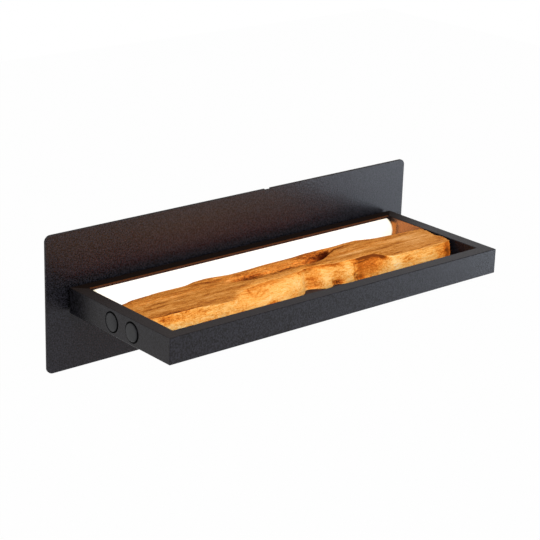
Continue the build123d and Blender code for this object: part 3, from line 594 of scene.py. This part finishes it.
               "touchY": {"swell": 1.4, "ripple": 0.8}, "crack": {"chisel": 0.6},
               "paintedHoleShade": {"ripple": 1.0, "chisel": 0.6}, "paintedHollowShade": {"chisel": 1.2, "grain": 0.8}},
    "raggedLines": (0.8, 0.5),  # of the hollow's deepest line and of the ridge
    "rimWide": 1.6,
    "rimDrop": 0.5,
    "rimFade": 0.8,
    "terrace": (0.16, 9.0, 5.0),  # rough steps of the hollow's wall: height, how many, raggedness
    "crestAhead": 1.0,
    "crestReach": 14.0,
    "crestNear": 6.0,
    "backLean": 1.6,
    "pitDepth": (0.6, 2.5),  # from where to where the hollow's relief grows
    "paintedHoleShadeDepth": (2.0, 4.8),
    "paintedHollowShadeDepth": (1.2, 3.6),
    "liveFoot": (0.2, 2.5),  # heights over the foot between which the relief grows
    "scoopDown": (0.02, 0.3),
    "scoopFall": 1.2,
    "touchFall": 1.1,
    "crackFade": 0.55,
    # painted shade: how near black the cracks are painted
    "paintedCrackShade": 0.9,
    "proud": 0.5,  # how far the relief may rise over the top
    # the turn from the top's colour to the face's: how soft, where it is softer, how it wanders
    "turnSoft": (0.8, 3.6),
    "softFrom": (-96, -78),
    "softTo": (8, 34),
    "turnWobble": (0.9, 0.5),
    "turnShift": (0.35, 0.3),
    "lowFace": (1.5, 4.5),
    "underFace": 0.6,
    # the two ends: (share of the outline, roughness) of each ring, and their colour
    "endRings": [(0.99, 0.3), (0.97, 0.55), (0.85, 0.6), (0.6, 0.6), (0.3, 0.6), (0.1, 0.6)],
    "endFineShare": 0.5,
    "endFace": 0.75,
    "endDark": 0.25,
    "endFrom": 150,
    "endChip": 0.5,
    "leftSpecks": (-85, -112),
    "leftSpeckShare": 0.5,
}


def smoothStep(low, high, value):
    t = np.clip((value - low) / (high - low), 0.0, 1.0)
    return t * t * (3 - 2 * t)


def lineAlong(name, xs):
    places, heights = zip(*shelf[name])
    values = np.interp(xs, places, heights)
    soften = shelf["soften"][name]
    reach = int(3 * soften / shelf["step"]) + 1
    kernel = np.exp(-0.5 * (np.arange(-reach, reach + 1) * shelf["step"] / soften) ** 2)
    padded = np.pad(values, reach, mode="edge")
    return np.convolve(padded, kernel / kernel.sum(), "valid")


def noiseField(points, name):
    stretch, seed = shelf["noises"][name]
    field = np.empty(points.shape[:-1])
    flat = points.reshape(-1, 3) * np.array(stretch) + seed
    field.reshape(-1)[:] = [noise.noise(Vector(p)) for p in flat]
    return field


def column(values):
    return values[:, None]


def shelfRings():
    count = int(round((shelf["right"] - shelf["left"]) / shelf["step"])) + 1
    xs = np.linspace(shelf["left"], shelf["right"], count)
    lines = {name: lineAlong(name, xs) for name in shelf["soften"]}
    back, edge, foot = lines["backEdge"], lines["frontEdge"], lines["foot"]
    top, bottom = shelf["top"], shelf["bottom"]
    alongTop = np.linspace(0, 1, shelf["topPoints"])[None, :]
    downFace = np.linspace(0, 1, shelf["facePoints"] + 1)[None, 1:]
    alongUnder = np.linspace(0, 1, shelf["underPoints"] + 1)[None, 1:]
    upBack = np.linspace(0, 1, shelf["backPoints"] + 1)[None, 1:-1]

    # the top, from the back edge to the front edge
    yTop = column(back) + column(edge - back) * alongTop
    ragged = noiseField(np.stack([xs[:, None] + 0 * alongTop, yTop, 0 * yTop], -1), "ragged")
    raggedHollow, raggedRidge = shelf["raggedLines"]
    rimFront = column(back) - shelf["rimWide"]
    deepest = column(lines["hollowLine"]) + raggedHollow * ragged
    ridge = column(lines["ridge"]) + raggedRidge * ragged
    falling = smoothStep(0.0, 1.0, (rimFront - yTop) / (rimFront - deepest))
    rising = smoothStep(0.0, 1.0, (deepest - yTop) / (deepest - ridge))
    stepHigh, stepCount, stepRagged = shelf["terrace"]
    terrace = stepHigh * np.sin(falling * stepCount + stepRagged * ragged) * falling * (1 - falling)
    pit = column(lines["hollow"]) * np.clip((falling + terrace) * (1 - rising), 0, 1)
    rim = shelf["rimDrop"] * np.exp(-(column(back) - yTop) / shelf["rimFade"])
    crestStart = ridge + shelf["crestAhead"]
    reach = np.minimum(crestStart - column(edge), shelf["crestReach"])
    past = smoothStep(0.0, 1.0, (crestStart - yTop) / reach)
    near = smoothStep(0.0, 1.0, (shelf["crestNear"] - (yTop - column(edge))) / shelf["crestNear"])
    crest = column(lines["crest"]) * np.maximum(past * near, near ** 3)
    zTop = top - pit - rim - crest

    # the front face, from the front edge to the foot
    angle = downFace * math.pi / 2
    turn = column(lines["round"])
    zEdge = zTop[:, -1:]
    yFace = column(edge) + column(foot - edge) * (downFace * (1 - turn) + np.sin(angle) * turn)
    zFace = zEdge - (zEdge - bottom) * (downFace * (1 - turn) + (1 - np.cos(angle)) * turn)

    # the underside and the back
    backFoot = back - shelf["backLean"]
    yUnder = column(foot) + column(backFoot - foot) * alongUnder
    zUnder = bottom + 0 * yUnder
    yBack = column(backFoot) + column(back - backFoot) * np.sin(upBack * math.pi / 2)
    zBack = bottom + (zTop[:, :1] - bottom) * upBack

    y = np.concatenate([yTop, yFace, yUnder, yBack], axis=1)
    z = np.concatenate([zTop, zFace, zUnder, zBack], axis=1)
    x = np.repeat(xs[:, None], y.shape[1], axis=1)
    return xs, lines, np.stack([x, y, z], axis=-1), pit


def strokeField(x, across, place, shape):
    half, thin, lean = shape
    turn = math.radians(lean)
    dx, dz = x - place[0], across - place[1]
    along = dx * math.cos(turn) + dz * math.sin(turn)
    aside = dz * math.cos(turn) - dx * math.sin(turn)
    return np.exp(-(along / half) ** 4 - (aside / thin) ** 2)


def drawStroke(chance, kind):
    place = chance.uniform(*kind["x"]), chance.uniform(*kind["across"])
    shape = chance.uniform(*kind["half"]), chance.uniform(*kind["thin"]), chance.gauss(*kind["lean"])
    shade = chance.choice(kind["signs"]) * chance.uniform(*kind["shade"])
    return place, shape, shade


def shelfStrokes(x, y, down, onTop, onFace):
    chance = random.Random(shelf["chance"])
    thick = shelf["top"] - shelf["bottom"]
    marks = np.zeros(x.shape)
    for px, share, half, thin, lean, shade in shelf["strokes"]:
        field = strokeField(x, down * thick, (px, share * thick), (half, thin, lean))
        marks += shade * np.where(onFace, field, 0)
    for i in range(shelf["scratches"]["count"]):
        (px, share), shape, shade = drawStroke(chance, shelf["scratches"])
        marks += shade * np.where(onFace, strokeField(x, down * thick, (px, share * thick), shape), 0)
    for i in range(shelf["pores"]["count"]):
        place, shape, shade = drawStroke(chance, shelf["pores"])
        marks += shade * np.where(onTop, strokeField(x, y, place, shape), 0)
    return marks


def shelfNormals(points):
    alongX = np.gradient(points, axis=0)
    aroundRing = np.roll(points, -1, axis=1) - np.roll(points, 1, axis=1)
    normal = np.cross(aroundRing, alongX)
    return normal / (np.linalg.norm(normal, axis=-1, keepdims=True) + 1e-9)


def shelfRelief(xs, lines, points, pit):
    nTop, nFace = shelf["topPoints"], shelf["facePoints"]
    top, bottom = shelf["top"], shelf["bottom"]
    around = points.shape[1]
    normal = shelfNormals(points)
    index = np.repeat(np.arange(around)[None, :], len(xs), axis=0)
    onTop = index < nTop
    onFace = (index >= nTop) & (index < nTop + nFace)
    onBack = index >= nTop + nFace + shelf["underPoints"]
    under = (index >= nTop + nFace - 1) & ~onBack
    x, y, height = points[..., 0], points[..., 1], points[..., 2]
    lowLive, highLive = shelf["liveFoot"]
    live = smoothStep(bottom + lowLive, bottom + highLive, height)
    down = (top - height) / (top - bottom)  # 0 at the top, 1 at the foot
    hole = np.pad(pit, ((0, 0), (0, around - nTop)))

    fields = {name: noiseField(points, name) for name in ("swell", "grain", "fibre", "ripple", "chisel")}

    def mixed(name):
        return sum(weight * fields[field] for field, weight in shelf["relief"][name].items())

    inPit = smoothStep(*shelf["pitDepth"], hole)
    push = np.where(onTop, mixed("top") + inPit * mixed("hollow"), 0)
    push += np.where(onFace, mixed("face"), 0)
    push += np.where(onBack, mixed("back"), 0)
    for middle, half, depth in shelf["scoops"]:
        spread = np.exp(-(((x - middle) / half) ** 2) * shelf["scoopFall"])
        push -= depth * spread * np.where(onFace, smoothStep(*shelf["scoopDown"], down), 0)

    tone = np.full(height.shape, 0.5)
    speck = np.zeros(height.shape)
    # dark holds the painted shade of the deep hollow and the cracks
    dark = np.zeros(height.shape)
    for px, share, half, tall, shade, specks in shelf["faceTouches"]:
        away = ((x - px + mixed("touchX")) / half) ** 2 + ((down - share + mixed("touchDown")) / tall) ** 2
        spread = np.where(onFace, np.exp(-away * shelf["touchFall"]), 0)
        tone += shade * spread
        speck = np.maximum(speck, specks * spread)
    for px, py, half, wide, shade in shelf["topTouches"]:
        away = ((x - px) / half) ** 2 + ((y - py + mixed("touchY")) / wide) ** 2
        tone += np.where(onTop, shade * np.exp(-away), 0)
    for middle, half, depth, reach in shelf["cracks"]:
        groove = np.exp(-(((x - middle - mixed("crack")) / half) ** 2))
        groove *= 1 - smoothStep(bottom + reach * shelf["crackFade"], bottom + reach, height)
        groove = np.where(onFace, groove, 0)
        push -= depth * groove
        # painted shade: the cracks are painted dark
        dark = np.maximum(dark, shelf["paintedCrackShade"] * groove)
    # painted shade: the deepest part of the hollow is painted nearly black
    paintedHoleShade = column(lines["hole"]) * smoothStep(*shelf["paintedHoleShadeDepth"], hole + mixed("paintedHoleShade"))
    dark = np.maximum(dark, np.where(onTop, paintedHoleShade, 0))
    # painted shade: the hollow is painted darker where it is deep
    paintedHollowShade = column(lines["paintedHollowShade"]) * smoothStep(*shelf["paintedHollowShadeDepth"], hole + mixed("paintedHollowShade"))
    tone -= np.where(onTop, paintedHollowShade, 0)
    tone += shelfStrokes(x, y, down, onTop, onFace)
    tone -= np.where(onBack, shelf["backDarker"], 0)

    push = np.where(under, 0, push) * np.where(onTop, 1, live)
    moved = points + normal * push[..., None]
    moved[..., 2] = np.clip(moved[..., 2], bottom, top + shelf["proud"])
    return moved, np.clip(tone, 0, 1), speck, dark, onTop, onFace


def shelfFaceShare(xs, lines, points, onTop, onFace):  # 1 where the wood looks like the front face, and takes the face's lighter colours, which hold painted front light
    edge = column(lines["frontEdge"])
    crisp, softer = shelf["turnSoft"]
    middle = smoothStep(*shelf["softFrom"], xs) * (1 - smoothStep(*shelf["softTo"], xs))
    soft = column(crisp + softer * middle)
    wave, chip = shelf["turnWobble"]
    wobble = wave * noiseField(points, "turnWave") + chip * noiseField(points, "turnChip")
    topShift, faceShift = shelf["turnShift"]
    share = smoothStep(1.0, -1.0, (points[..., 1] - edge - topShift * soft + wobble) / soft)
    below = smoothStep(-1.0, 1.0, (edge - points[..., 1] + faceShift * soft + wobble) / soft)
    lowFrom, lowTo = shelf["lowFace"]
    low = smoothStep(shelf["top"] - lowFrom, shelf["top"] - lowTo, points[..., 2])
    return np.where(onFace, np.maximum(below, low), np.where(onTop, share, shelf["underFace"]))


def turnedEnds(side, base, rows):  # the end faces: side is 0 for the left one and 1 for the right one
    middle = np.array([base[0, 0], base[:, 1].mean(), (shelf["top"] + shelf["bottom"]) / 2])
    made = []
    for shrink, out in shelf["endRings"]:
        ring = middle + (base - middle) * shrink
        ring[:, 2] = np.clip(ring[:, 2], shelf["bottom"], None)
        rough = noiseField(ring, "endBroad") + shelf["endFineShare"] * noiseField(ring, "endFine")
        ring[:, 0] = base[:, 0] + (out * rough if side else 0.0)  # the right end is sawn roughly
        made.append(ring)
    extra = np.stack(made)
    flat = np.stack([np.repeat(row[-1 if side else 0][None], len(made), axis=0) for row in rows])
    flat[0] = shelf["endFace"]
    flat[1] = np.clip(flat[1] - shelf["endDark"], 0, 1)
    return (extra, flat) if side else (extra[::-1], flat[:, ::-1])


def makeShelfBoard():
    xs, lines, points, pit = shelfRings()
    points, tone, speck, dark, onTop, onFace = shelfRelief(xs, lines, points, pit)
    face = shelfFaceShare(xs, lines, points, onTop, onFace)
    ending = smoothStep(shelf["endFrom"], shelf["right"], points[..., 0])
    endX = np.interp(points[..., 1], *zip(*shelf["endLine"]))
    chips = noiseField(points * np.array([0, 1, 1]), "endChips")
    points[..., 0] += ending * (endX - shelf["right"] + shelf["endChip"] * chips)
    leftSpecks = np.where(onFace, smoothStep(*shelf["leftSpecks"], points[..., 0]), 0.0)
    # the rows: face share (its colours hold painted front light), tone (with painted shade in the hollow),
    # specks, and the painted shade of hollow and cracks
    rows = [face, tone, np.maximum(speck, leftSpecks * shelf["leftSpeckShare"]), dark]
    around = points.shape[1]

    leftEnd, leftRows = turnedEnds(0, points[0], rows)
    rightEnd, rightRows = turnedEnds(1, points[-1], rows)
    rings = np.concatenate([leftEnd, points, rightEnd])
    values = [np.concatenate([leftRows[i], rows[i], rightRows[i]]) for i in range(len(rows))]

    count = len(rings)
    faces = []
    for i in range(count - 1):
        here, after = i * around, (i + 1) * around
        for j in range(around):
            k = (j + 1) % around
            faces.append((here + j, after + j, after + k, here + k))
    faces.append(tuple(range(around)))
    faces.append(tuple(range(count * around - 1, (count - 1) * around - 1, -1)))
    mesh = bpy.data.meshes.new("shelfBoard")
    mesh.from_pydata((rings.reshape(-1, 3) * mm).tolist(), [], faces)
    for name, data in zip(("face", "tone", "speck", "dark"), values):
        layer = mesh.attributes.new(name, "FLOAT", "POINT")
        layer.data.foreach_set("value", data.reshape(-1).astype(np.float32))
    build = bmesh.new()
    build.from_mesh(mesh)
    bmesh.ops.triangulate(build, faces=[f for f in build.faces if len(f.verts) > 4])
    finishMesh(build, mesh)
    board = placePiece("shelfBoard", mesh, finishes["teak"])
    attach(board, "lamp")
    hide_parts("wood_board")
    return board


shelfBoard = makeShelfBoard()
print("shelf board made:", len(shelfBoard.data.vertices), "points")


buttons = {
    "rear": {
        "body": "rear_button",
        "cap": "button_cap_rear",
        "spring": "return_spring_rear",
        "joint": "rear_button_press",
        # (radius, height over the cap), mm
        "face": [(0, 0.62), (2.5, 0.58), (4.4, 0.48), (5.9, 0.34), (6.9, 0.2), (7.5, 0.06), (7.7, -0.02)],
    },
    "front": {
        "body": "front_button",
        "cap": "button_cap_front",
        "spring": "return_spring_front",
        "joint": "front_button_press",
        "face": [(0, 0.5), (3.5, 0.5), (6.4, 0.48), (7.1, 0.4), (7.45, 0.26), (7.6, 0.1), (7.65, -0.02)],
    },
    "turns": 96,
}


def makeButtonFace(name, values):  # the painted disc on a button's cap
    low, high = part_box(values["cap"])
    middle = [(a + b) / 2 for a, b in zip(low, high)]
    turns = buttons["turns"]
    angles = [2 * math.pi * i / turns for i in range(turns)]
    build = bmesh.new()
    rings = []
    for radius, out in values["face"][1:]:
        rings.append([build.verts.new((low[0] - out * mm, middle[1] + radius * mm * math.cos(a),
                                       middle[2] + radius * mm * math.sin(a))) for a in angles])
    peak = build.verts.new((low[0] - values["face"][0][1] * mm, middle[1], middle[2]))
    for i in range(turns):
        j = (i + 1) % turns
        build.faces.new((peak, rings[0][i], rings[0][j]))
        for inner, outer in zip(rings, rings[1:]):
            build.faces.new((inner[i], outer[i], outer[j], inner[j]))
    build.faces.new(list(reversed(rings[-1])))
    mesh = bpy.data.meshes.new(name)
    finishMesh(build, mesh)
    face = placePiece(name, mesh, buttonPaint)
    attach(face, values["body"])


for side in ("rear", "front"):
    makeButtonFace(side + "ButtonFace", buttons[side])
print("button faces made")


returnSpring = {
    "wire": 0.3,  # radius of the wire, mm
    "turns": 3.5,
    "flatTurns": 0.5,  # closed turn at each end
    "clear": 0.01,
    "stepsPerTurn": 36,
    "wireSides": 10,
}


def makeReturnSpring(name, values):  # a wound wire that shortens as the button goes in
    low, high = (Vector(corner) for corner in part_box(values["spring"]))
    wire, clear = returnSpring["wire"] * mm, returnSpring["clear"] * mm
    radius = (high.y - low.y) / 2 - wire
    start, end = low.x + wire + clear, high.x - wire - clear
    middle = (low + high) / 2
    steps = int(returnSpring["turns"] * returnSpring["stepsPerTurn"])
    flat = returnSpring["flatTurns"] / returnSpring["turns"]
    path = []
    for i in range(steps + 1):
        share = i / steps
        climb = min(max((share - flat) / (1 - 2 * flat), 0), 1)
        angle = 2 * math.pi * returnSpring["turns"] * share
        out = Vector((0, math.cos(angle), math.sin(angle)))
        path.append((Vector((start + (end - start) * climb, middle.y, middle.z)) + out * radius, out))
    sides = returnSpring["wireSides"]
    angles = [2 * math.pi * k / sides for k in range(sides)]
    build = bmesh.new()
    rings = []
    for i, (spot, out) in enumerate(path):
        along = (path[min(i + 1, steps)][0] - path[max(i - 1, 0)][0]).normalized()
        aside = along.cross(out).normalized()
        spots = [spot + wire * (math.cos(a) * out + math.sin(a) * aside) for a in angles]
        rings.append([build.verts.new(place) for place in spots])
    for first, second in zip(rings, rings[1:]):
        for k in range(sides):
            j = (k + 1) % sides
            build.faces.new((first[k], first[j], second[j], second[k]))
    build.faces.new(list(reversed(rings[0])))
    build.faces.new(rings[-1])
    mesh = bpy.data.meshes.new(name)
    finishMesh(build, mesh)
    spring = placePiece(name, mesh, finishes["spring_steel"])
    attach(spring, "lamp")
    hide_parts(values["spring"])
    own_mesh(spring)


for side in ("rear", "front"):
    makeReturnSpring(side + "ReturnSpring", buttons[side])
print("return springs made")


studio = {
    "floorDrop": 1.4,
    "floorHalf": 6.0,
    "floorColour": (0.93, 0.93, 0.93),
    "floorShow": 0.985,  # share of plain white that the floor shows
    "ambient": 0.35,
    "aim": (0, -0.09, 0),
    "lights": {
        "keyLight": {"place": (-0.35, -1.45, 0.75), "size": (1.0, 0.8), "power": 19.2,
                     "colour": (0.9, 0.93, 1.0)},
        "rightLight": {"place": (1.25, -0.98, -0.15), "size": (0.5, 0.6), "power": 8.5,
                       "colour": (0.72, 0.86, 1.0)},
        "topLight": {"place": (0.1, -0.25, 1.5), "size": (1.2, 0.9), "power": 11.0,
                     "colour": (1.0, 0.84, 0.68)},
    },
}


def seenRays(tree):
    path = tree.nodes.new("ShaderNodeLightPath")
    shown = addMath(tree, "MAXIMUM", path.outputs["Is Camera Ray"], path.outputs["Is Glossy Ray"])
    return addMath(tree, "MAXIMUM", shown, path.outputs["Is Transmission Ray"])


def makeFloor():
    half, drop = studio["floorHalf"], -studio["floorDrop"]
    mesh = bpy.data.meshes.new("floor")
    corners = [(-half, -half, drop), (half, -half, drop), (half, half, drop), (-half, half, drop)]
    mesh.from_pydata(corners, [], [(0, 1, 2, 3)])
    mat = bpy.data.materials.new("paleFloor")
    mat.use_nodes = True
    tree = mat.node_tree
    tree.nodes.clear()
    out = tree.nodes.new("ShaderNodeOutputMaterial")
    matt = tree.nodes.new("ShaderNodeBsdfDiffuse")
    matt.inputs["Color"].default_value = (*studio["floorColour"], 1)
    white = tree.nodes.new("ShaderNodeEmission")
    mix = tree.nodes.new("ShaderNodeMixShader")
    seen = addMath(tree, "MULTIPLY", seenRays(tree), studio["floorShow"])
    tree.links.new(seen, mix.inputs[0])
    tree.links.new(matt.outputs[0], mix.inputs[1])
    tree.links.new(white.outputs[0], mix.inputs[2])
    tree.links.new(mix.outputs[0], out.inputs["Surface"])
    placePiece("floor", mesh, mat)


def makeWorld():
    world = bpy.data.worlds.new("studioWorld")
    bpy.context.scene.world = world
    world.use_nodes = True
    tree = world.node_tree
    back = tree.nodes["Background"]
    back.inputs["Color"].default_value = (1, 1, 1, 1)
    rest = studio["ambient"]
    level = addMath(tree, "MULTIPLY_ADD", seenRays(tree), 1 - rest, rest)
    tree.links.new(level, back.inputs["Strength"])


def softLight(name, place, size, power, colour, aim=studio["aim"]):
    lamp = bpy.data.lights.new(name, "AREA")
    lamp.shape = "RECTANGLE"
    lamp.size, lamp.size_y = size
    lamp.energy = power
    lamp.color = colour
    item = bpy.data.objects.new(name, lamp)
    bpy.context.collection.objects.link(item)
    item.location = place
    item.rotation_euler = (Vector(aim) - Vector(place)).to_track_quat("-Z", "Y").to_euler()
    return item


tubeGlow = {
    "colour": (1.0, 0.30, 0.04),
    "radiance": 17.0,
    "axis": (-0.036, 0.0017),
    "radius": 0.0104,
    "clear": 0.0003,
    "length": 0.328,
    "tiltStep": 30,
    "tilts": [(-60, 1), (-30, 1), (0, 1), (30, 1), (60, 0.3)],  # degrees, share of the light
    "endPlace": (0.1654, -0.006),  # from the middle, and in front of the axis
    "endSize": (0.007, 0.0125),
    "seam": (-0.0388, 0.0119),
    "seamWide": 0.001,
    "seamShare": 0.3,
    "seamAway": (0, 0.5, 1),
}

woodGlow = {  # warm light that the lit wood throws back on the frame and the plate
    "place": (-0.02, -0.096, 0.0145),
    "size": (0.29, 0.036),
    "radiance": 2.4,
    "colour": (1.0, 0.49, 0.17),
    "away": (0.0, 0.5, 1.0),
}


def glowPatch(name, place, size, radiance, colour, away):  # a patch of light that the camera doesn't see
    power = radiance * math.pi * size[0] * size[1]
    patch = softLight(name, place, size, power, colour, Vector(place) + Vector(away))
    patch.visible_camera = False


def makeTubeGlow():
    colour, radiance, length = tubeGlow["colour"], tubeGlow["radiance"], tubeGlow["length"]
    reach = tubeGlow["radius"] + tubeGlow["clear"]
    wide = tubeGlow["radius"] * math.radians(tubeGlow["tiltStep"])
    for tilt, share in tubeGlow["tilts"]:
        away = Vector((0, -math.cos(math.radians(tilt)), math.sin(math.radians(tilt))))
        place = Vector((0, *tubeGlow["axis"])) + away * reach
        glowPatch("tubeGlow", place, (length, wide), share * radiance, colour, away)
    place, size = (0, *tubeGlow["seam"]), (length, tubeGlow["seamWide"])
    glowPatch("tubeSeamGlow", place, size, tubeGlow["seamShare"] * radiance, colour, tubeGlow["seamAway"])
    endX, endFront = tubeGlow["endPlace"]
    for side in (-1, 1):
        place = side * endX, tubeGlow["axis"][0] + endFront, tubeGlow["axis"][1]
        glowPatch("tubeEndGlow", place, tubeGlow["endSize"], radiance, colour, (side, 0, 0))


lookFrom = {"azimuth": -40.553, "elevation": 19.716, "roll": 1.766, "distance": 1.46482,
            "target": (-0.00537, -0.072, 0.00602), "lens": 113.745}


def makeCamera():
    az, el, roll = (math.radians(lookFrom[k]) for k in ("azimuth", "elevation", "roll"))
    back = Vector((math.sin(az) * math.cos(el), -math.cos(az) * math.cos(el), math.sin(el)))
    right = Vector((math.cos(az), math.sin(az), 0))
    up = back.cross(right)
    tiltRight = right * math.cos(roll) + up * math.sin(roll)
    tiltUp = up * math.cos(roll) - right * math.sin(roll)
    data = bpy.data.cameras.new("mainCamera")
    data.sensor_width = 36.0
    data.lens = lookFrom["lens"]
    camera = bpy.data.objects.new("mainCamera", data)
    bpy.context.collection.objects.link(camera)
    spot = Vector(lookFrom["target"]) + back * lookFrom["distance"]
    turn = Matrix((tiltRight, tiltUp, back)).transposed().to_4x4()
    camera.matrix_world = Matrix.Translation(spot) @ turn
    bpy.context.scene.camera = camera


makeFloor()
makeWorld()
makeTubeGlow()
glowPatch("woodGlow", **woodGlow)
for lightName, light in studio["lights"].items():
    softLight(lightName, **light)
makeCamera()
bpy.context.scene.view_settings.view_transform = "Standard"
print("studio and camera made")
